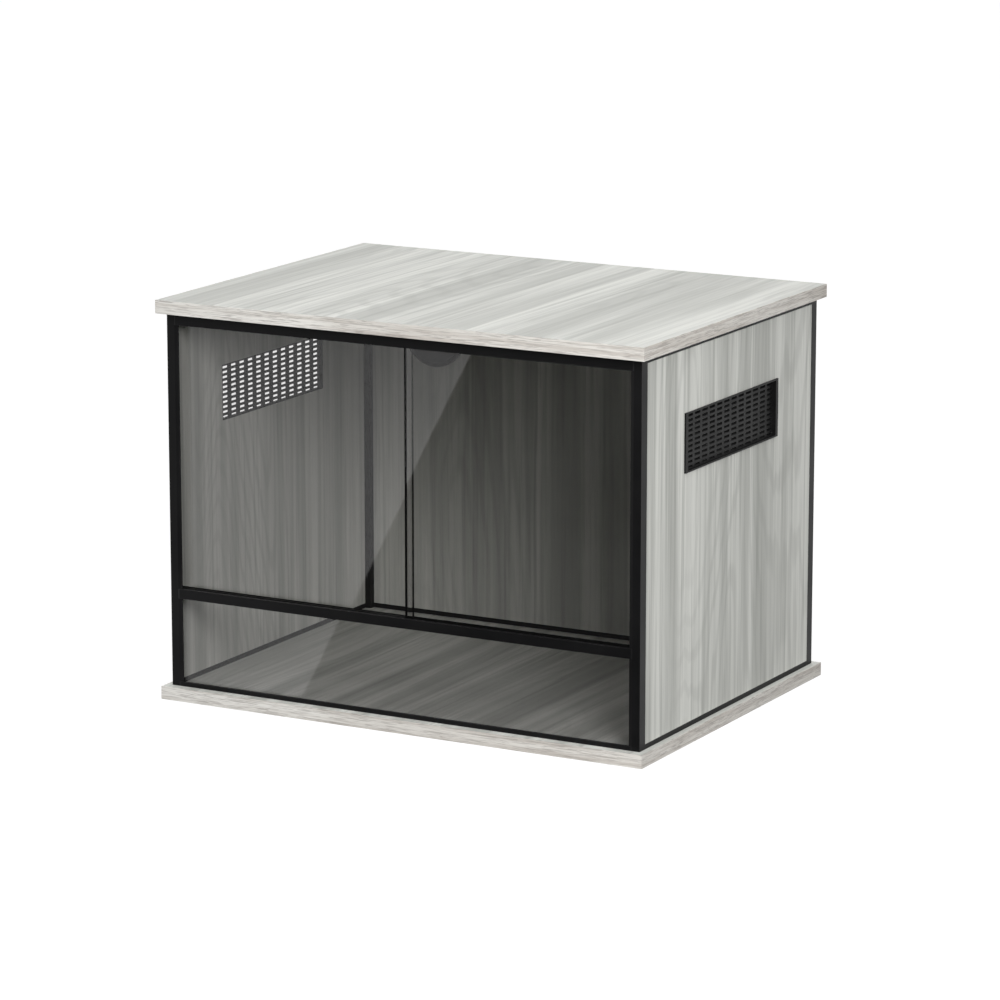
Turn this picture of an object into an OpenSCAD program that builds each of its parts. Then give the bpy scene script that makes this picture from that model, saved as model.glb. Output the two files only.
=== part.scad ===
// Terrarium cabinet: two wood-look boards, a slim black aluminium frame, three wood-look
// wall panels with a slotted vent in each side, a fixed lower pane and two sliding glass doors.
// The doors face -Y, +Z is up, and the origin is the middle of the underside.

/* [Cabinet] */
// Width of the top and base boards
cabinet_w = 600; // [500:1:1200]
// Depth of the top and base boards
cabinet_d = 450; // [380:1:650]
// Height from the underside to the top surface
cabinet_h = 451; // [400:1:800]

/* [Boards] */
// Thickness of each board
board_t = 15; // [12:0.5:30]
// How far the boards stand past the frame at each side
side_overhang = 8; // [3:0.5:20]
// How far the boards stand past the frame at the front
front_overhang = 11; // [3:0.5:20]
// How far the boards stand past the frame at the rear
rear_overhang = 9; // [3:0.5:20]
// Thickness of the edge bands glued round the boards
edge_band_t = 1; // [0.4:0.1:2]
// Relief trimmed off the lower edge of each edge band
band_relief = 0.3; // [0.1:0.1:0.8]

/* [Frame] */
// Width of the front posts, seen from the front
front_post_w = 13.5; // [11:0.5:20]
// Depth of the front posts, and the side of the square rear posts
post_d = 13; // [11:0.5:20]
// Thickness of every front face of the frame
front_t = 3; // [2.5:0.1:4.5]
// Width of the shallow bevel along the inner front edge of the front posts
post_bevel_w = 4; // [1:0.1:5]
// Depth of that bevel
post_bevel_d = 1.3; // [0.5:0.1:2]
// Height of the slim rails at the sides and the rear
rail_h = 5.5; // [5:0.5:10]

/* [Panels] */
// Thickness of the side and back panels
panel_t = 5.5; // [5:0.5:9]
// Thickness of the tongue round each panel
tongue_t = 2; // [1.5:0.1:2.5]
// Reach of the tongue into the posts and rails
tongue_depth = 3; // [2:0.5:3.5]
// Clearance round each panel and its tongue
panel_gap = 0.2; // [0.1:0.05:0.4]

/* [Front rails] */
// Height of the front face of the bottom rail
sill_h = 5; // [4.5:0.5:10]
// Drop of the bottom rail's rear lip below its front face
sill_drop = 2; // [1:0.1:2.4]
// Depth of the slot in the bottom rail that the fixed pane stands in
sill_slot_h = 2; // [1:0.1:2]
// Height of the front face of the top rail
top_rail_h = 13; // [12:0.5:20]
// Height of the middle rail's underside above the base board
mid_rail_z = 100; // [60:0.5:200]
// Height of the front face of the middle rail
mid_rail_h = 11; // [10:0.5:20]
// Thickness of the rails' horizontal webs
web_t = 2; // [1.5:0.1:3]
// Depth of the slot in the middle rail that the fixed pane lifts into
glazing_slot_h = 4.5; // [4:0.5:4.5]
// Thickness of the lip behind the fixed pane
rear_lip_t = 2; // [1.5:0.1:3]
// Thickness of the gaskets on the fixed pane
gasket_t = 0.6; // [0.3:0.1:1]

/* [Door tracks] */
// Width of each door groove
groove_w = 5.6; // [5:0.1:8]
// Thickness of the rib between the two grooves
track_rib_t = 1.2; // [1:0.1:3]
// Thickness of the tracks' outer walls
track_wall_t = 0.8; // [0.6:0.1:2]
// Thickness of the tracks' floor and ceiling
track_floor_t = 1; // [0.6:0.1:1.5]

/* [Doors] */
// Thickness of all three glass panes
glass_t = 4; // [3:0.5:4]
// Where the doors meet, to the right of the middle
door_meet_x = 8; // [-30:1:30]
// Overlap of the two closed doors
door_overlap = 6; // [5:1:40]
// Engagement of the doors in the upper track
door_top_reach = 4; // [3:0.5:5]
// Clearance under the doors and at their ends
door_gap = 0.5; // [0.3:0.1:1]
// Thickness of the runners' walls
runner_wall = 0.5; // [0.3:0.05:0.5]
// Thickness of the runners under the glass
runner_floor = 0.8; // [0.5:0.1:1.5]
// How far the front door's runner shows above the middle rail
front_runner_show = 2; // [0.5:0.5:6]
// How far the rear door's runner stays below the top of the track
rear_runner_drop = 0.5; // [0.1:0.1:2]
// Thickness of the sealing strip on the front door's edge
seal_t = 1.6; // [0.5:0.1:2.5]

/* [Vents] */
// Width of each vent's flange
vent_w = 228; // [160:1:260]
// Height of each vent's flange
vent_h = 65; // [40:1:90]
// Distance of the vents' middle below the top board
vent_drop = 106.6; // [60:0.1:200]
// Flange width at the ends of the vent opening
vent_end_border = 5.5; // [4:0.5:8]
// Flange width above and below the vent opening
vent_edge_border = 1.7; // [1.5:0.1:4]
// How far the flange stands proud of the panel
vent_flange_t = 2; // [0.5:0.1:3]
// Thickness of the vent's walls
vent_wall_t = 0.8; // [0.6:0.1:1]
// Thickness of the slotted plate
vent_plate_t = 2.6; // [1.5:0.1:3.5]
// Length of one slot
slot_l = 13; // [8:0.1:15]
// Height of one slot
slot_h = 3.1; // [2:0.1:3.6]
// How far each slot falls for every millimetre on its way out
slot_fall = 0.7; // [0:0.05:0.7]
// Distance from slot to slot along the vent
slot_pitch_l = 17.85; // [16:0.05:24]
// Distance from row to row
slot_pitch_h = 5.65; // [4.5:0.05:8]
// Distance from the vent's rear wall to the last slot
slot_end_gap = 0.3; // [0.1:0.1:4]

/* [Cable port] */
// Distance of the port's middle from the side of the frame
port_inset = 99; // [70:1:200]
// Distance of the port's middle below the top board
port_drop = 81; // [62:0.5:200]
// Diameter of the port's flange
port_flange_d = 80; // [74:1:100]
// Diameter of the cap
port_cap_d = 70; // [66:1:72]
// Bore of the port
port_bore_d = 60; // [40:1:60]
// Thickness of the port's sleeve
port_wall_t = 2; // [1.5:0.1:2.5]
// Thickness of the port's flange
port_flange_t = 2.5; // [2:0.1:4]
// Depth of the seat that the cap sits in
port_seat_h = 1.5; // [1:0.1:1.6]
// Thickness of the cap's disc
port_cap_t = 2; // [1.7:0.1:3]
// Length of the cap's spigot
port_spigot_l = 4; // [2:0.5:6]
// Clearance between the cap and the port
port_gap = 0.3; // [0.1:0.05:0.5]

/* [Fasteners] */
// Diameter of the base screws
screw_d = 3.5; // [2.5:0.5:3.5]
// Head diameter of the base screws
screw_head_d = 7; // [6:0.5:8]
// Length of the base screws in the posts
screw_grip = 16; // [10:1:30]
// Depth of the screw heads below the underside
screw_sink = 0.5; // [0.3:0.1:1]
// Diameter of the pins that locate the top board
pin_d = 3; // [2:0.5:3.5]
// Length of the pins in the posts and in the board
pin_half_l = 9; // [5:0.5:10]
// Clearance round screws and pins
fastener_gap = 0.1; // [0.05:0.05:0.2]

/* [Hidden] */

$fn = 96;
cut = 1;                    // how far a cutter runs past the face that it opens

// Colours
wood = [0.78, 0.78, 0.75];
band = [0.74, 0.72, 0.69];
black = [0.11, 0.11, 0.11];
dark_plastic = [0.16, 0.16, 0.16];
rubber = [0.05, 0.05, 0.05];
tinted_glass = [0.45, 0.47, 0.47, 0.45];
steel = [0.7, 0.7, 0.72];

// Planes of the frame
x_out = cabinet_w / 2 - side_overhang;
y_front = -cabinet_d / 2 + front_overhang;
y_rear = cabinet_d / 2 - rear_overhang;
y_mid = (y_front + y_rear) / 2;
z_base = board_t;
z_top = cabinet_h - board_t;
x_in = x_out - panel_t;                 // inner faces of the side walls
y_in = y_rear - panel_t;                // inner face of the back wall
x_post = x_out - front_post_w;          // inner edges of the front posts
y_post_front = y_front + post_d;        // rear face of the front posts
y_post_rear = y_rear - post_d;          // front face of the rear posts

// Panes and tracks, from the front of the frame backwards
y_slot = y_front + front_t;
glazing_w = glass_t + 2 * gasket_t;
y_lip_end = y_slot + glazing_w + rear_lip_t;
y_groove_f = y_slot + track_wall_t;
y_groove_r = y_groove_f + groove_w + track_rib_t;
y_track_end = y_groove_r + groove_w + track_wall_t;
y_door_f = y_groove_f + (groove_w - glass_t) / 2;
y_door_r = y_groove_r + (groove_w - glass_t) / 2;

// Heights
z_mid = z_base + mid_rail_z;
z_web = z_mid + glazing_slot_h;
z_sill_slot = z_base + sill_h - sill_drop - sill_slot_h;
z_track_floor = z_web + web_t + track_floor_t;
z_mid_top = z_mid + mid_rail_h;
z_rail_bottom = z_top - top_rail_h;
z_door = z_track_floor + door_gap;
z_glass = z_door + runner_floor;
z_glass_top = z_rail_bottom + door_top_reach;

// Door edges
door_end = x_in - door_gap;
left_door_edge = door_meet_x + door_overlap / 2;
right_door_edge = door_meet_x - door_overlap / 2;

// Vents
vent_open_w = vent_w - 2 * vent_end_border;
vent_open_h = vent_h - 2 * vent_edge_border;
vent_box_w = vent_open_w + 2 * vent_wall_t;
vent_box_h = vent_open_h + 2 * vent_wall_t;
vent_z = z_top - vent_drop;
slot_cols = floor((vent_open_w - slot_end_gap - slot_l) / slot_pitch_l) + 1;
slot_drop = slot_fall * vent_plate_t;   // fall over the whole plate
slot_rows = floor((vent_open_h - slot_h - slot_drop) / slot_pitch_h) + 1;
slot_cut = 0.1;                         // overrun of the slots, small enough to clear the vent's floor

// Fasteners: along the side leg of a front post, and in the middle of a rear post
front_fastener = [x_out - panel_t / 2, y_front + post_d / 2 - tongue_depth / 2];
rear_fastener = [x_out - post_d / 2, y_rear - post_d / 2];
fastener_spots = [front_fastener, rear_fastener,
                  [-front_fastener[0], front_fastener[1]], [-rear_fastener[0], rear_fastener[1]]];

// A box between two corners
module block(low, high) {
    translate(low) cube(high - low);
}

// The child and its mirror image on the other side of the cabinet
module left_side() {
    mirror([1, 0, 0]) children();
}

// The child turned half round, for the vent that is the same moulding on the other side
module turned() {
    rotate([0, 0, 180]) children();
}

module at_fasteners() {
    for (spot = fastener_spots) translate([spot[0], spot[1], 0]) children();
}

// ---- Boards ----

module board_core(z0) {
    block([-cabinet_w / 2 + edge_band_t, -cabinet_d / 2 + edge_band_t, z0],
          [cabinet_w / 2 - edge_band_t, cabinet_d / 2 - edge_band_t, z0 + board_t]);
}

module edge_bands(z0) {
    z1 = z0 + board_t;
    for (side = [-1, 1]) {
        y = side * (cabinet_d / 2 - edge_band_t / 2);
        block([-cabinet_w / 2, y - edge_band_t / 2, z0 + band_relief],
              [cabinet_w / 2, y + edge_band_t / 2, z1]);
        x = side * (cabinet_w / 2 - edge_band_t / 2);
        block([x - edge_band_t / 2, -cabinet_d / 2 + edge_band_t, z0 + band_relief],
              [x + edge_band_t / 2, cabinet_d / 2 - edge_band_t, z1]);
    }
}

module base_board() {
    color(wood) difference() {
        board_core(0);
        at_fasteners() {
            translate([0, 0, -cut]) cylinder(d = screw_d + 2 * fastener_gap, h = board_t + 2 * cut);
            screw_head(fastener_gap);
            translate([0, 0, -cut]) cylinder(d = screw_head_d + 2 * fastener_gap, h = screw_sink + cut);
        }
    }
}

module base_edge_bands() {
    color(band) edge_bands(0);
}

module top_board() {
    color(wood) difference() {
        board_core(z_top);
        at_fasteners() translate([0, 0, z_top - cut])
            cylinder(d = pin_d + 2 * fastener_gap, h = pin_half_l + fastener_gap + cut);
    }
}

module top_edge_bands() {
    color(band) edge_bands(z_top);
}

// ---- Posts ----

// Groove for a panel's tongue, centred on the origin
module tongue_groove(length_x, length_y, z0, z1) {
    block([-length_x / 2, -length_y / 2, z0], [length_x / 2, length_y / 2, z1]);
}

module post_bores() {
    at_fasteners() {
        translate([0, 0, z_base - cut])
            cylinder(d = screw_d + 2 * fastener_gap, h = screw_grip + fastener_gap + cut);
        translate([0, 0, z_top - pin_half_l - fastener_gap])
            cylinder(d = pin_d + 2 * fastener_gap, h = pin_half_l + fastener_gap + cut);
    }
}

groove_t = tongue_t + 2 * panel_gap;
groove_depth = tongue_depth + panel_gap;
tongue_x = x_out - panel_t / 2;         // middle of the side panels
tongue_y = y_rear - panel_t / 2;        // middle of the back panel
z_groove_low = z_base + rail_h - groove_depth;
z_groove_high = z_top - rail_h + groove_depth;

module front_post() {
    difference() {
        translate([0, 0, z_base]) linear_extrude(z_top - z_base) polygon([
            [x_out, y_front], [x_out, y_post_front], [x_in, y_post_front], [x_in, y_slot],
            [x_post, y_slot], [x_post, y_front + post_bevel_d], [x_post + post_bevel_w, y_front]]);
        translate([tongue_x, y_post_front, 0])
            tongue_groove(groove_t, 2 * groove_depth, z_groove_low, z_groove_high);
        post_bores();
    }
}

module rear_post() {
    difference() {
        block([x_out - post_d, y_post_rear, z_base], [x_out, y_rear, z_top]);
        translate([tongue_x, y_post_rear, 0])
            tongue_groove(groove_t, 2 * groove_depth, z_groove_low, z_groove_high);
        translate([x_out - post_d, tongue_y, 0])
            tongue_groove(2 * groove_depth, groove_t, z_groove_low, z_groove_high);
        post_bores();
    }
}

module front_left_post() { color(black) left_side() front_post(); }
module front_right_post() { color(black) front_post(); }
module rear_left_post() { color(black) left_side() rear_post(); }
module rear_right_post() { color(black) rear_post(); }

// ---- Slim rails ----

module side_rail(z0, groove_z) {
    difference() {
        block([x_in, y_post_front, z0], [x_out, y_post_rear, z0 + rail_h]);
        translate([tongue_x, y_mid, 0])
            tongue_groove(groove_t, cabinet_d, groove_z, groove_z + groove_depth + cut);
    }
}

module rear_rail(z0, groove_z) {
    difference() {
        block([-x_out + post_d, y_in, z0], [x_out - post_d, y_rear, z0 + rail_h]);
        translate([0, tongue_y, 0])
            tongue_groove(cabinet_w, groove_t, groove_z, groove_z + groove_depth + cut);
    }
}

z_high_rail = z_top - rail_h;
z_high_groove = z_high_rail - cut;

module left_bottom_rail() { color(black) left_side() side_rail(z_base, z_groove_low); }
module right_bottom_rail() { color(black) side_rail(z_base, z_groove_low); }
module rear_bottom_rail() { color(black) rear_rail(z_base, z_groove_low); }
module left_top_rail() { color(black) left_side() side_rail(z_high_rail, z_high_groove); }
module right_top_rail() { color(black) side_rail(z_high_rail, z_high_groove); }
module rear_top_rail() { color(black) rear_rail(z_high_rail, z_high_groove); }

// ---- Front rails ----

// Front face of a rail, coped over the bevels of the posts
module front_face(z0, height) {
    translate([0, 0, z0]) linear_extrude(height) polygon([
        [-x_post - post_bevel_w, y_front], [x_post + post_bevel_w, y_front],
        [x_post, y_front + post_bevel_d], [x_post, y_slot],
        [-x_post, y_slot], [-x_post, y_front + post_bevel_d]]);
}

module front_bottom_rail() {
    color(black) union() {
        front_face(z_base, sill_h);
        block([-x_in, y_slot, z_base], [x_in, y_lip_end, z_sill_slot]);
        block([-x_in, y_lip_end - rear_lip_t, z_base], [x_in, y_lip_end, z_sill_slot + sill_slot_h]);
    }
}

module front_top_rail() {
    color(black) union() {
        front_face(z_rail_bottom, top_rail_h);
        block([-x_in, y_slot, z_top - web_t], [x_in, y_track_end, z_top]);
    }
}

module mid_rail() {
    color(black) union() {
        front_face(z_mid, mid_rail_h);
        block([-x_in, y_slot, z_web], [x_in, y_track_end, z_web + web_t]);
        block([-x_in, y_lip_end - rear_lip_t, z_mid], [x_in, y_lip_end, z_web]);
    }
}

// ---- Door tracks ----

// The three upright walls that make the two door grooves
module track_walls(z0, z1) {
    block([-x_in, y_slot, z0], [x_in, y_groove_f, z1]);
    block([-x_in, y_groove_r - track_rib_t, z0], [x_in, y_groove_r, z1]);
    block([-x_in, y_track_end - track_wall_t, z0], [x_in, y_track_end, z1]);
}

module lower_door_track() {
    color(dark_plastic) union() {
        block([-x_in, y_slot, z_web + web_t], [x_in, y_track_end, z_track_floor]);
        track_walls(z_web + web_t, z_mid_top);
    }
}

module upper_door_track() {
    color(dark_plastic) union() {
        block([-x_in, y_slot, z_top - web_t - track_floor_t], [x_in, y_track_end, z_top - web_t]);
        track_walls(z_rail_bottom, z_top - web_t);
    }
}

// ---- Panels ----

// Side panel with its tongue and the hole for its vent
module side_panel() {
    reach = tongue_depth;
    difference() {
        union() {
            block([x_in, y_post_front + panel_gap, z_base + rail_h + panel_gap],
                  [x_out, y_post_rear - panel_gap, z_high_rail - panel_gap]);
            block([tongue_x - tongue_t / 2, y_post_front - reach, z_base + rail_h - reach],
                  [tongue_x + tongue_t / 2, y_post_rear + reach, z_high_rail + reach]);
        }
        block([x_in - cut, -vent_box_w / 2 - panel_gap, vent_z - vent_box_h / 2 - panel_gap],
              [x_out + cut, vent_box_w / 2 + panel_gap, vent_z + vent_box_h / 2 + panel_gap]);
    }
}

module left_panel() { color(wood) left_side() side_panel(); }
module right_panel() { color(wood) side_panel(); }

module back_panel() {
    reach = tongue_depth;
    x_end = x_out - post_d;
    color(wood) difference() {
        union() {
            block([-x_end + panel_gap, y_in, z_base + rail_h + panel_gap],
                  [x_end - panel_gap, y_rear, z_high_rail - panel_gap]);
            block([-x_end - reach, tongue_y - tongue_t / 2, z_base + rail_h - reach],
                  [x_end + reach, tongue_y + tongue_t / 2, z_high_rail + reach]);
        }
        at_port() translate([0, 0, -cut])
            cylinder(d = port_bore_d + 2 * port_wall_t + 2 * port_gap, h = panel_t + 2 * cut);
    }
}

// ---- Fixed pane ----

module lower_glass() {
    color(tinted_glass)
        block([-door_end, y_slot + gasket_t, z_sill_slot + gasket_t],
              [door_end, y_slot + gasket_t + glass_t, z_web - gasket_t]);
}

// Channel of rubber round one long edge of the pane; its slot opens upwards
module gasket(height) {
    difference() {
        block([-door_end, y_slot, 0], [door_end, y_slot + glazing_w, height]);
        block([-door_end - cut, y_slot + gasket_t, gasket_t],
              [door_end + cut, y_slot + gasket_t + glass_t, height + cut]);
    }
}

module lower_glass_gaskets() {
    color(rubber) {
        translate([0, 0, z_sill_slot]) gasket(sill_slot_h);
        translate([0, 0, z_web]) mirror([0, 0, 1]) gasket(glazing_slot_h);
    }
}

// ---- Sliding doors ----

// Channel under a door; its slot opens upwards
module runner(x0, x1, y_glass, z_high) {
    difference() {
        block([x0, y_glass - runner_wall, z_door], [x1, y_glass + glass_t + runner_wall, z_high]);
        block([x0 - cut, y_glass, z_glass], [x1 + cut, y_glass + glass_t, z_high + cut]);
    }
}

module left_door_glass() {
    color(tinted_glass) block([-door_end, y_door_r, z_glass],
                              [left_door_edge, y_door_r + glass_t, z_glass_top]);
}

module left_door_runner() {
    color(rubber) runner(-door_end, left_door_edge, y_door_r, z_mid_top - rear_runner_drop);
}

z_front_runner = z_mid_top + front_runner_show;

module right_door_glass() {
    color(tinted_glass) block([right_door_edge + seal_t, y_door_f, z_glass],
                              [door_end, y_door_f + glass_t, z_glass_top]);
}

module right_door_runner() {
    color(rubber) runner(right_door_edge, door_end, y_door_f, z_front_runner);
}

// Strip bonded to the edge of the front door
module right_door_seal() {
    color(rubber) block([right_door_edge, y_door_f, z_front_runner],
                        [right_door_edge + seal_t, y_door_f + glass_t, z_glass_top]);
}

// ---- Vents ----

// Cutter of one slot: runs along +Y and falls on its way out along +X
module slot() {
    x0 = -slot_cut;
    x1 = vent_plate_t + slot_cut;
    translate([0, slot_l, 0]) rotate([90, 0, 0]) linear_extrude(slot_l) polygon([
        [x0, -slot_fall * x0], [x1, -slot_fall * x1],
        [x1, slot_h - slot_fall * x1], [x0, slot_h - slot_fall * x0]]);
}

module vent() {
    x_face = x_out + vent_flange_t;
    y_end = vent_open_w / 2;
    z_low = vent_z - vent_open_h / 2;
    z_high = vent_z + vent_open_h / 2;
    slots_h = (slot_rows - 1) * slot_pitch_h + slot_h;
    difference() {
        union() {
            block([x_out, -vent_w / 2, vent_z - vent_h / 2],
                  [x_face, vent_w / 2, vent_z + vent_h / 2]);
            block([x_in, -vent_box_w / 2, vent_z - vent_box_h / 2],
                  [x_face, vent_box_w / 2, vent_z + vent_box_h / 2]);
        }
        block([x_in + vent_plate_t, -y_end, z_low], [x_face + cut, y_end, z_high]);
        for (col = [0 : slot_cols - 1], row = [0 : slot_rows - 1])
            translate([x_in,
                       y_end - slot_end_gap - slot_l - col * slot_pitch_l,
                       vent_z + (slot_drop - slots_h) / 2 + row * slot_pitch_h])
                slot();
    }
}

module left_vent() { color(dark_plastic) turned() vent(); }
module right_vent() { color(dark_plastic) vent(); }

// ---- Cable port in the back panel ----

// Axis of the port, pointing backwards, with z = 0 on the panel's inner face
module at_port() {
    translate([-x_out + port_inset, y_in, z_top - port_drop]) rotate([-90, 0, 0]) children();
}

module cable_port() {
    sleeve_d = port_bore_d + 2 * port_wall_t;
    color(dark_plastic) at_port() difference() {
        union() {
            translate([0, 0, -port_flange_t]) cylinder(d = port_flange_d, h = port_flange_t);
            cylinder(d = sleeve_d, h = panel_t);
        }
        translate([0, 0, -port_flange_t - cut])
            cylinder(d = port_bore_d, h = port_flange_t + panel_t + 2 * cut);
        translate([0, 0, -port_flange_t - cut])
            cylinder(d = port_cap_d + 2 * port_gap, h = port_seat_h + cut);
    }
}

module cable_port_cap() {
    spigot_d = port_bore_d - 2 * port_gap;
    z_seat = -port_flange_t + port_seat_h;
    color(dark_plastic) at_port() difference() {
        union() {
            translate([0, 0, z_seat - port_cap_t]) cylinder(d = port_cap_d, h = port_cap_t);
            translate([0, 0, z_seat]) cylinder(d = spigot_d, h = port_spigot_l);
        }
        translate([0, 0, z_seat])
            cylinder(d = spigot_d - 2 * port_wall_t, h = port_spigot_l + cut);
    }
}

// ---- Fasteners ----

// Countersunk head, grown by a clearance for the seat that it sits in
module screw_head(gap) {
    head_h = (screw_head_d - screw_d) / 2;
    translate([0, 0, screw_sink])
        cylinder(d1 = screw_head_d + 2 * gap, d2 = screw_d + 2 * gap, h = head_h);
}

module base_screws() {
    color(steel) at_fasteners() {
        screw_head(0);
        translate([0, 0, screw_sink]) cylinder(d = screw_d, h = board_t - screw_sink + screw_grip);
    }
}

module top_pins() {
    color(steel) at_fasteners()
        translate([0, 0, z_top - pin_half_l]) cylinder(d = pin_d, h = 2 * pin_half_l);
}

base_board();
base_edge_bands();
top_board();
top_edge_bands();
front_left_post();
front_right_post();
rear_left_post();
rear_right_post();
front_bottom_rail();
left_bottom_rail();
right_bottom_rail();
rear_bottom_rail();
front_top_rail();
left_top_rail();
right_top_rail();
rear_top_rail();
mid_rail();
upper_door_track();
lower_door_track();
left_panel();
right_panel();
back_panel();
lower_glass();
lower_glass_gaskets();
left_door_glass();
left_door_runner();
right_door_glass();
right_door_runner();
right_door_seal();
left_vent();
right_vent();
cable_port();
cable_port_cap();
base_screws();
top_pins();
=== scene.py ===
"""Looks of the terrarium cabinet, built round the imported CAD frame.

Metres, origin in the middle of the underside, the glass doors face -Y, +Z is up.
Every piece of the cabinet is a CAD node with a material. This script adds only the floor, the
sky, the lamps, the camera and the two cards that the panes reflect.
"""

import math

import bpy
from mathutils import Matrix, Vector


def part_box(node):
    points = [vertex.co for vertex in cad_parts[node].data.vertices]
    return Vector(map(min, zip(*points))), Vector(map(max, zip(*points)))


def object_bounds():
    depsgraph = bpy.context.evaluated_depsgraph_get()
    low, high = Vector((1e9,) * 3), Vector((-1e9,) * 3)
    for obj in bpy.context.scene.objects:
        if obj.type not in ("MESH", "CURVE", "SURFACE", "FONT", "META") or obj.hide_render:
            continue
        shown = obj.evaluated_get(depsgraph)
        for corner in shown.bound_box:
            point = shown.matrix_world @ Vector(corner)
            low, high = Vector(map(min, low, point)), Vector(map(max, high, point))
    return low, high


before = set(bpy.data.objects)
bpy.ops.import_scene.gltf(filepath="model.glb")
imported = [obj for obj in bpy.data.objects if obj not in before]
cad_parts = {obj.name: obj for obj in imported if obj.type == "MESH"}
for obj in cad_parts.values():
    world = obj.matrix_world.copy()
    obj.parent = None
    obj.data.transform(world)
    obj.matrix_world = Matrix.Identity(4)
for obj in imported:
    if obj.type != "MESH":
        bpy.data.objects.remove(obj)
cad_low, cad_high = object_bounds()

# ---- Camera, fitted to the photograph's edges ----
CAMERA_PLACE = (2.3673, -4.3081, 1.2935)
CAMERA_YAW = 28.717  # degrees, turned from +Y towards -X
CAMERA_PITCH = -12.369  # degrees, below 0 for looking down
CAMERA_LENS = 162.31  # mm
CAMERA_SENSOR = 36.0  # mm
CAMERA_REACH = 100.0
PHOTO_SIDE = 1000  # pixels

# ---- Light ----
SKY = 0.08  # radiance of the sky that lights the cabinet
# Each lamp: where it shines from, and how bright it makes a white surface that faces it.
# The spreads are degrees. The box is a square lamp, BOX_AWAY from the cabinet's middle.
KEY_FROM, KEY_LEVEL, KEY_SPREAD = (0.06, -0.58, 0.81), 0.51, 50
FILL_FROM, FILL_LEVEL, FILL_SPREAD = (-0.60, 0.50, 0.62), 0.24, 80
BOX_FROM, BOX_LEVEL = (0.68, -0.69, 0.38), 0.80
BOX_AWAY, BOX_SIZE = 3.0, 1.0
SHADOW_TINT = 0.63  # what each face of a pane lets through of a lamp's or a wall's light
FLOOR_GREY = 0.15  # share of the light that the floor sends back to the cabinet
FLOOR_SEEN = 0.885  # what the floor shows by itself; the light on it brings it to white
FLOOR_SHADE = 0.20  # how much of the light on the floor shows, so how dark a shadow gets
FLOOR_HALF = 14.0  # half the floor's side

# ---- The two cards that the panes reflect, and the line where their reflections meet ----
CARD_LINE = ((470, 355), (303, 693))  # pixels of the photograph, on the doors and the lower pane
CARD_SIZE = 6.0
CARD_HEIGHT = 0.004
CARD_CLEAR = 0.02  # how far the cards stay in front of the cabinet
CARD_DARK, CARD_LIGHT = 0.06, 0.76

# ---- Decor ----
GRAIN_Y, GRAIN_Z = 1, 2  # the axis that the grain follows
DARKER_FROM, DARKER_FULL = -0.11, -0.06  # where the edge bands turn a shade darker, along x
# Edge mask for rubbed wear and painted edge highlights
WEAR_SHEEN_FROM, WEAR_SHEEN_FULL = 0.995, 0.85  # cosine between a face's normal and its rounded edge's


# ---------------------------------------------------------------- node helpers


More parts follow.
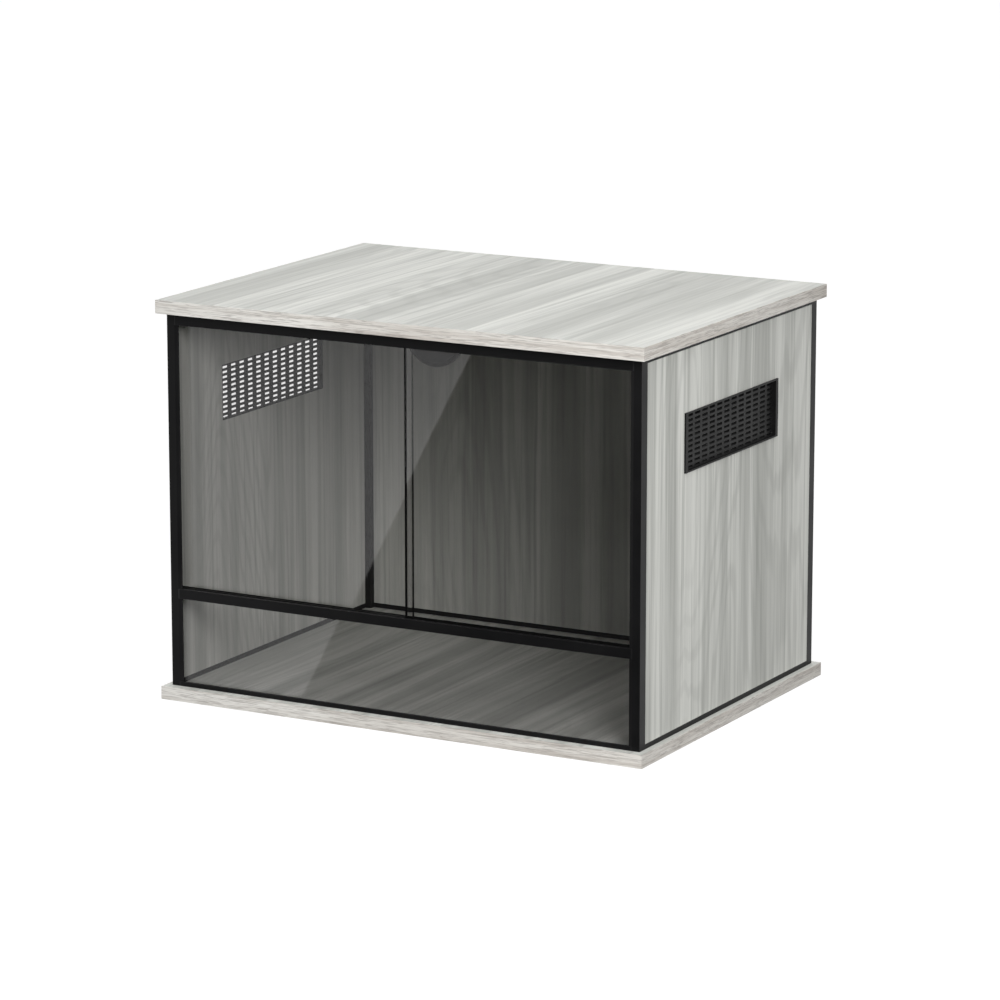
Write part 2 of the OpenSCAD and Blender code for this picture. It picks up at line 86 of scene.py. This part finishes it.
class Tree:
    """The node tree of a material or a world, with one short call for each kind of node."""

    def __init__(self, owner):
        self.owner = owner
        self.owner.use_nodes = True
        self.tree = owner.node_tree
        self.tree.nodes.clear()

    def put(self, socket, value):
        if isinstance(value, bpy.types.NodeSocket):
            self.tree.links.new(value, socket)
        else:
            socket.default_value = value

    def add(self, kind, values=None, **settings):
        """A new node. values go to its named sockets, settings to the node itself."""
        node = self.tree.nodes.new(kind)
        for key, value in settings.items():
            setattr(node, key, value)
        for key, value in (values or {}).items():
            self.put(node.inputs[key], value)
        return node

    def add_in_order(self, kind, values, **settings):
        """A new node whose first sockets take values in their order."""
        node = self.add(kind, **settings)
        for socket, value in zip(node.inputs, values):
            self.put(socket, value)
        return node

    def math(self, operation, *values, clamp=False):
        node = self.add_in_order("ShaderNodeMath", values, operation=operation, use_clamp=clamp)
        return node.outputs[0]

    def vector_math(self, operation, *values):
        return self.add_in_order("ShaderNodeVectorMath", values, operation=operation)

    def place(self, scale):
        """The position in the piece's own frame, stretched by scale."""
        coords = self.add("ShaderNodeTexCoord")
        return self.vector_math("MULTIPLY", coords.outputs["Object"], scale).outputs[0]

    def even_place(self, scale):
        return self.place((scale, scale, scale))

    def moved_place(self, scale, offset):
        """The stretched position, moved by offset to another part of the pattern."""
        return self.vector_math("ADD", self.place(scale), offset).outputs[0]

    def noise(self, vector, detail=2.0, roughness=0.5, distortion=0.0):
        values = {
            "Vector": vector,
            "Scale": 1.0,
            "Detail": detail,
            "Roughness": roughness,
            "Distortion": distortion,
        }
        return self.add("ShaderNodeTexNoise", values).outputs["Fac"]

    def spread(self, value, low, high, to_low=0.0, to_high=1.0):
        """value mapped smoothly from low..high to to_low..to_high."""
        values = {
            "Value": value,
            "From Min": low,
            "From Max": high,
            "To Min": to_low,
            "To Max": to_high,
        }
        node = self.add("ShaderNodeMapRange", values, interpolation_type="SMOOTHSTEP")
        return node.outputs["Result"]

    def mix(self, factor, first, second):
        """Two colours mixed. The node's colour sockets come after those for other types."""
        node = self.add("ShaderNodeMix", data_type="RGBA")
        self.put(node.inputs[0], factor)
        self.put(node.inputs[6], first)
        self.put(node.inputs[7], second)
        return node.outputs[2]

    def mix_shaders(self, factor, first, second):
        return self.add_in_order("ShaderNodeMixShader", (factor, first, second)).outputs[0]

    def bump(self, height, strength, distance):
        values = {"Height": height, "Strength": strength, "Distance": distance}
        return self.add("ShaderNodeBump", values).outputs[0]

    def edge_wear_and_sheen(self, radius=0.0012):
        """1 along an outside edge, 0 on a flat face: where rubbed wear and a painted edge
        highlight go.
        """
        round_edge = self.add("ShaderNodeBevel", {"Radius": radius}, samples=4)
        geometry = self.add("ShaderNodeNewGeometry")
        dot = self.vector_math("DOT_PRODUCT", round_edge.outputs[0], geometry.outputs["Normal"])
        return self.spread(dot.outputs["Value"], WEAR_SHEEN_FROM, WEAR_SHEEN_FULL)

    def principled(self, colour, roughness, values):
        """A principled shader. values go to its other sockets."""
        values = {"Base Color": colour, "Roughness": roughness, **values}
        return self.add("ShaderNodeBsdfPrincipled", values).outputs[0]

    def finish(self, shader, kind="ShaderNodeOutputMaterial"):
        """The tree's material or world, with shader as its surface."""
        self.add(kind, {"Surface": shader})
        return self.owner


def new_material(name):
    return Tree(bpy.data.materials.new(name))


def grey(level):
    return (level, level, level, 1)


# ------------------------------------------------------------------- materials


def wood_laminate(name, along, offset, contrast=1.0):
    """Light grey oak melamine. along is the axis that the grain follows."""
    t = new_material(name)

    def stretched(across_scale, along_scale):
        scale = [across_scale] * 3
        scale[along] = along_scale
        return t.moved_place(scale, offset)

    # Broad planks of tone, streaks inside them, and the finest fibres
    bands = t.noise(stretched(34, 0.7), detail=3, roughness=0.60, distortion=0.3)
    streaks = t.noise(stretched(150, 2.6), detail=4, roughness=0.6, distortion=0.15)
    fibres = t.noise(stretched(900, 22), detail=2, roughness=0.6)

    # Growth rings: contour lines of a slow field, which close into arches
    ring_count, ring_wobble = 34.0, 1.1
    field = t.noise(stretched(6.5, 0.85), detail=1.5, roughness=0.4, distortion=0.25)
    wobble = t.noise(stretched(55, 5.0), detail=2, roughness=0.5)
    rings = t.math(
        "ADD", t.math("MULTIPLY", field, ring_count), t.math("MULTIPLY", wobble, ring_wobble)
    )
    ring_wave = t.math("SINE", t.math("MULTIPLY", rings, 2 * math.pi))
    ring_line = t.spread(ring_wave, 0.1, 1.0)
    ring_where = t.spread(t.noise(stretched(5.0, 1.0), detail=1), 0.42, 0.62)

    # How dark each layer gets
    streak_depth, ring_depth, fibre_depth = 0.55 * contrast, 0.24 * contrast, 0.30 * contrast
    streak_shade = t.math("MULTIPLY", t.spread(streaks, 0.46, 0.74), streak_depth)
    ring_shade = t.math("MULTIPLY", t.math("MULTIPLY", ring_line, ring_where), ring_depth)
    fibre_shade = t.math("MULTIPLY", t.spread(fibres, 0.50, 0.85), fibre_depth)

    light = (0.735, 0.740, 0.700, 1)
    mid = (0.480, 0.486, 0.456, 1)
    dark = (0.300, 0.306, 0.284, 1)
    base = t.mix(t.spread(bands, 0.34, 0.66), mid, light)
    streaked = t.mix(streak_shade, base, dark)
    ringed = t.mix(ring_shade, streaked, dark)
    colour = t.mix(fibre_shade, ringed, dark)

    pores = t.math("ADD", t.math("MULTIPLY", streaks, 0.5), fibre_shade)
    height = t.math("SUBTRACT", 1.0, pores)
    roughness = t.spread(streaks, 0.3, 0.8, 0.50, 0.62)
    values = {"Specular IOR Level": 0.32, "Normal": t.bump(height, strength=0.25, distance=0.0002)}
    return t.finish(t.principled(colour, roughness, values))


def edge_band(name, offset):
    """Edge band of the same decor: thin warm and grey lines that run along the edge."""
    t = new_material(name)

    def stretched(up_scale, along_scale):
        return t.moved_place((along_scale, along_scale, up_scale), offset)

    lines = t.noise(stretched(1150, 42), detail=2, roughness=0.6, distortion=0.7)
    warm = t.noise(stretched(260, 6), detail=2, roughness=0.5, distortion=0.3)
    slow = t.noise(stretched(90, 9), detail=2, roughness=0.5)

    # The edge bands are a shade darker from left of the middle on towards +x
    across = t.add("ShaderNodeSeparateXYZ", {"Vector": t.even_place(1)}).outputs["X"]
    darker_share = t.spread(across, DARKER_FROM, DARKER_FULL)
    first_light, second_light = (0.835, 0.818, 0.775, 1), (0.735, 0.712, 0.668, 1)
    first_beige, second_beige = (0.700, 0.672, 0.625, 1), (0.595, 0.560, 0.515, 1)
    light = t.mix(darker_share, first_light, second_light)
    beige = t.mix(darker_share, first_beige, second_beige)
    line = (0.210, 0.180, 0.165, 1)
    line_depth = 0.62

    base = t.mix(t.spread(warm, 0.40, 0.66), light, beige)
    line_where = t.math("MULTIPLY", t.spread(slow, 0.30, 0.60, 0.55, 0.85), line_depth)
    line_shade = t.math("MULTIPLY", t.spread(lines, 0.47, 0.62), line_where)
    colour = t.mix(line_shade, base, line)
    roughness = t.spread(lines, 0.3, 0.8, 0.50, 0.64)
    values = {"Specular IOR Level": 0.3, "Normal": t.bump(lines, strength=0.2, distance=0.0002)}
    return t.finish(t.principled(colour, roughness, values))


def coated_metal(name):
    """Satin black coating on an extruded profile: fine orange peel, and edges made brighter partly
    by rubbed wear, partly as a painted highlight.
    """
    t = new_material(name)
    peel = t.noise(t.even_place(1400), detail=2, roughness=0.6)
    cloud = t.noise(t.even_place(14), detail=3, roughness=0.6)
    # Edges lightened in colour: partly rubbed wear, partly a painted edge highlight
    wear_and_sheen = t.math("MULTIPLY", t.edge_wear_and_sheen(), t.spread(cloud, 0.35, 0.7, 0.3, 1.0))
    deep, pale = (0.0045, 0.0045, 0.0048, 1), (0.0062, 0.0062, 0.0065, 1)
    rubbed_and_sheen = (0.055, 0.055, 0.056, 1)
    tone = t.mix(t.spread(cloud, 0.3, 0.7), deep, pale)
    colour = t.mix(t.math("MULTIPLY", wear_and_sheen, 0.5), tone, rubbed_and_sheen)
    roughness = t.spread(cloud, 0.3, 0.7, 0.36, 0.46)
    values = {"Specular IOR Level": 0.12, "Normal": t.bump(peel, strength=0.12, distance=0.0001)}
    return t.finish(t.principled(colour, roughness, values))


def black_plastic(name):
    """Moulded or extruded black plastic with a faint grain, and edges lightened partly by wear,
    partly as a painted highlight.
    """
    t = new_material(name)
    grain = t.noise(t.even_place(2200), detail=2, roughness=0.7)
    cloud = t.noise(t.even_place(30), detail=3, roughness=0.6)
    # Edges lightened in colour: partly wear, partly a painted edge highlight
    wear_and_sheen = t.math("MULTIPLY", t.edge_wear_and_sheen(radius=0.0008), t.spread(cloud, 0.35, 0.7, 0.2, 0.9))
    base = t.mix(t.spread(cloud, 0.3, 0.7), grey(0.00595), grey(0.0084))
    colour = t.mix(t.math("MULTIPLY", wear_and_sheen, 0.4), base, grey(0.06))
    roughness = t.spread(cloud, 0.3, 0.7, 0.40, 0.52)
    values = {"Specular IOR Level": 0.12, "Normal": t.bump(grain, strength=0.18, distance=0.0001)}
    return t.finish(t.principled(colour, roughness, values))


def black_rubber(name):
    """Matt black rubber with a dusty, slightly uneven surface."""
    t = new_material(name)
    grain = t.noise(t.even_place(3000), detail=2, roughness=0.7)
    dust = t.noise(t.even_place(60), detail=4, roughness=0.65)
    colour = t.mix(t.spread(dust, 0.4, 0.75), grey(0.0015), grey(0.004))
    roughness = t.spread(dust, 0.3, 0.75, 0.62, 0.80)
    values = {"Specular IOR Level": 0.04, "Normal": t.bump(grain, strength=0.3, distance=0.0001)}
    return t.finish(t.principled(colour, roughness, values))


def plated_steel(name):
    """Zinc-plated steel with turned lines and a cloudy passivated tone."""
    t = new_material(name)
    turned = t.noise(t.place((300, 300, 6000)), detail=2, roughness=0.6)
    cloud = t.noise(t.even_place(240), detail=3, roughness=0.6)
    deep, pale = (0.50, 0.50, 0.48, 1), (0.66, 0.66, 0.68, 1)
    colour = t.mix(t.spread(cloud, 0.3, 0.7), deep, pale)
    roughness = t.spread(turned, 0.3, 0.7, 0.28, 0.42)
    values = {"Metallic": 1.0, "Normal": t.bump(turned, strength=0.25, distance=0.0001)}
    return t.finish(t.principled(colour, roughness, values))


def smoked_glass(name):
    """Grey-tinted float glass, wiped clean but for a trace of haze.

    The lamps' light, and what the walls inside send back, go straight through it.
    """
    t = new_material(name)
    haze = t.noise(t.even_place(7), detail=4, roughness=0.6)
    deep, pale = (0.806, 0.797, 0.800, 1), (0.819, 0.809, 0.812, 1)
    tint = t.mix(t.spread(haze, 0.3, 0.7), deep, pale)
    roughness = t.spread(haze, 0.45, 0.8, 0.0, 0.012)
    shader = t.principled(tint, roughness, {"IOR": 1.5, "Transmission Weight": 1.0})
    clear = t.add("ShaderNodeBsdfTransparent", {"Color": grey(SHADOW_TINT)}).outputs[0]
    path = t.add("ShaderNodeLightPath").outputs
    straight = t.math("MAXIMUM", path["Is Shadow Ray"], path["Is Diffuse Ray"])
    return t.finish(t.mix_shaders(straight, shader, clear))


# ------------------------------------------------------- materials on the nodes

frame_metal = coated_metal("frame_black")
track = black_plastic("track_plastic")
vent = black_plastic("vent_plastic")
rubber = black_rubber("seal_rubber")
glass = smoked_glass("smoked_glass")
steel = plated_steel("fastener_steel")

# A laminate's offset picks the part of the pattern that shows. Twelve sets of offsets, all but
# one drawn at random, were rendered, and for each board the one nearest to the photograph was
# kept. Others would do as well: they move the grain and change nothing else.
LOOKS = {
    "base_board": wood_laminate("laminate_base", GRAIN_Y, (18.7, 22.3, 23.9), 0.8),
    "top_board": wood_laminate("laminate_top", GRAIN_Y, (1.7, 27.5, 1.0), 0.8),
    "left_panel": wood_laminate("laminate_left", GRAIN_Z, (0.3, 1.4, 5.4)),
    "right_panel": wood_laminate("laminate_right", GRAIN_Z, (10.8, 23.6, 23.2)),
    "back_panel": wood_laminate("laminate_back", GRAIN_Z, (27.5, 10.2, 27.7)),
    "base_edge_bands": edge_band("edge_band_base", (2.0, 5.0, 0.7)),
    "top_edge_bands": edge_band("edge_band_top", (6.0, 1.0, 3.4)),
    "upper_door_track": track,
    "lower_door_track": track,
    "left_vent": vent,
    "right_vent": vent,
    "cable_port": vent,
    "cable_port_cap": vent,
    "lower_glass": glass,
    "left_door_glass": glass,
    "right_door_glass": glass,
    "lower_glass_gaskets": rubber,
    "left_door_runner": rubber,
    "right_door_runner": rubber,
    "right_door_seal": rubber,
    "base_screws": steel,
    "top_pins": steel,
}

for node_name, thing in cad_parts.items():
    thing.data.materials.clear()
    thing.data.materials.append(LOOKS.get(node_name, frame_metal))


# ----------------------------------------------------------------------- stage


def into_scene(name, data):
    """A new object of the scene, made of a mesh, a lamp or a camera."""
    thing = bpy.data.objects.new(name, data)
    bpy.context.scene.collection.objects.link(thing)
    return thing


def seen_directly(t):
    """1 for what the camera sees, also in metal and through glass; 0 for light on its way."""
    path = t.add("ShaderNodeLightPath").outputs
    seen = path["Is Camera Ray"]
    for ray in ("Is Glossy Ray", "Is Transmission Ray"):
        seen = t.math("ADD", seen, path[ray], clamp=True)
    not_bounced = t.math("LESS_THAN", path["Diffuse Depth"], 0.5)
    return t.math("MULTIPLY", seen, not_bounced)


def make_world():
    """Plain white where it is seen, and a dim sky as a light."""
    t = Tree(bpy.data.worlds.new("studio"))
    sky = t.add("ShaderNodeBackground", {"Color": grey(1.0), "Strength": SKY}).outputs[0]
    white = t.add("ShaderNodeBackground", {"Color": grey(1.0), "Strength": 1.0}).outputs[0]
    surroundings = t.mix_shaders(seen_directly(t), sky, white)
    bpy.context.scene.world = t.finish(surroundings, "ShaderNodeOutputWorld")


def flat_mesh(name, corners, material):
    mesh = bpy.data.meshes.new(name)
    mesh.from_pydata([tuple(c) for c in corners], [], [tuple(range(len(corners)))])
    mesh.materials.append(material)
    thing = into_scene(name, mesh)
    return thing


def make_floor():
    """White where it is seen, but for shadows, and grey for the light that it sends back."""
    t = new_material("floor_white")
    lit = t.add("ShaderNodeBsdfDiffuse", {"Color": grey(FLOOR_GREY)}).outputs[0]
    shade = t.add("ShaderNodeBsdfDiffuse", {"Color": grey(FLOOR_SHADE)}).outputs[0]
    glow = t.add("ShaderNodeEmission", {"Color": grey(1.0), "Strength": FLOOR_SEEN}).outputs[0]
    shown = t.add_in_order("ShaderNodeAddShader", (shade, glow)).outputs[0]
    material = t.finish(t.mix_shaders(seen_directly(t), lit, shown))
    h = FLOOR_HALF
    flat_mesh("floor", [(-h, -h, 0), (h, -h, 0), (h, h, 0), (-h, h, 0)], material)


def turned_to(source):
    """The rotation of a lamp that shines from the direction source."""
    return Vector(source).to_track_quat("Z", "Y").to_euler()


def make_sun(name, source, level, spread):
    """A soft distant lamp. level is how bright it makes a white surface that faces it."""
    data = bpy.data.lights.new(name, "SUN")
    data.energy = level * math.pi
    data.angle = math.radians(spread)
    # Sampled only as a lamp, not as a disc that mirrored rays can hit
    data.cycles.use_multiple_importance_sampling = False
    into_scene(name, data).rotation_euler = turned_to(source)


def make_softbox():
    """A square lamp in front on the right, above the cabinet's height."""
    data = bpy.data.lights.new("softbox", "AREA")
    data.size = BOX_SIZE
    # An area lamp's power, for a white surface facing it at BOX_AWAY to be as bright as BOX_LEVEL
    data.energy = BOX_LEVEL * (math.pi * BOX_AWAY) ** 2
    lamp = into_scene("softbox", data)
    middle = Vector((0, 0, cad_high.z / 2))
    lamp.location = middle + Vector(BOX_FROM).normalized() * BOX_AWAY
    lamp.rotation_euler = turned_to(BOX_FROM)
    lamp.visible_camera = False


def make_camera():
    data = bpy.data.cameras.new("camera")
    data.lens = CAMERA_LENS
    data.sensor_width = CAMERA_SENSOR
    data.clip_end = CAMERA_REACH
    camera = into_scene("camera", data)
    camera.location = CAMERA_PLACE
    camera.rotation_euler = (math.radians(90 + CAMERA_PITCH), 0, math.radians(CAMERA_YAW))
    bpy.context.scene.camera = camera
    return camera


def reflected_on_floor(camera, pixel, pane_y):
    """Where the card is that a pixel of the photograph shows, mirrored in a pane at pane_y."""
    focal = CAMERA_LENS / CAMERA_SENSOR * PHOTO_SIDE
    middle = PHOTO_SIDE / 2
    aim = Vector(((pixel[0] - middle) / focal, (middle - pixel[1]) / focal, -1.0))
    aim.rotate(camera.rotation_euler)
    start = Vector(CAMERA_PLACE)
    hit = start + aim * ((pane_y - start.y) / aim.y)
    aim.y = -aim.y
    return hit + aim * ((CARD_HEIGHT - hit.z) / aim.z)


def before_front(corners, front):
    """The part of a flat polygon that lies in front of y = front."""
    kept = []
    for start, end in zip(corners, corners[1:] + corners[:1]):
        if start.y < front:
            kept.append(start)
        if (start.y < front) != (end.y < front):
            kept.append(start.lerp(end, (front - start.y) / (end.y - start.y)))
    return kept


def card_glow(name, level):
    """Light that only mirrored rays see, also where they leave the glass again."""
    t = new_material(name)
    glow = t.add("ShaderNodeEmission", {"Color": grey(1.0), "Strength": level}).outputs[0]
    clear = t.add("ShaderNodeBsdfTransparent").outputs[0]
    path = t.add("ShaderNodeLightPath").outputs
    mirrored = t.math("MINIMUM", path["Glossy Depth"], 1.0)
    return t.finish(t.mix_shaders(mirrored, clear, glow))


def make_cards(camera):
    """Two cards on the floor in front, dark right of the line and pale left of it."""
    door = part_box("right_door_glass")[0].y
    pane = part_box("lower_glass")[0].y
    far = reflected_on_floor(camera, CARD_LINE[0], door)
    near = reflected_on_floor(camera, CARD_LINE[1], pane)
    edge = (far - near).normalized()
    right = Vector((-edge.y, edge.x, 0))
    a, b = near - edge * CARD_SIZE, far + edge * CARD_SIZE
    for name, level, side in (("card_dark", CARD_DARK, right), ("card_pale", CARD_LIGHT, -right)):
        reach = side * CARD_SIZE
        corners = before_front([a, b, b + reach, a + reach], cad_low.y - CARD_CLEAR)
        card = flat_mesh(name, corners, card_glow(name, level))
        card.visible_camera = card.visible_diffuse = card.visible_shadow = False


make_world()
make_floor()
make_sun("key", KEY_FROM, KEY_LEVEL, KEY_SPREAD)
make_sun("fill", FILL_FROM, FILL_LEVEL, FILL_SPREAD)
make_softbox()
photo_camera = make_camera()
bpy.context.view_layer.update()
make_cards(photo_camera)

bpy.context.scene.view_settings.view_transform = "Standard"
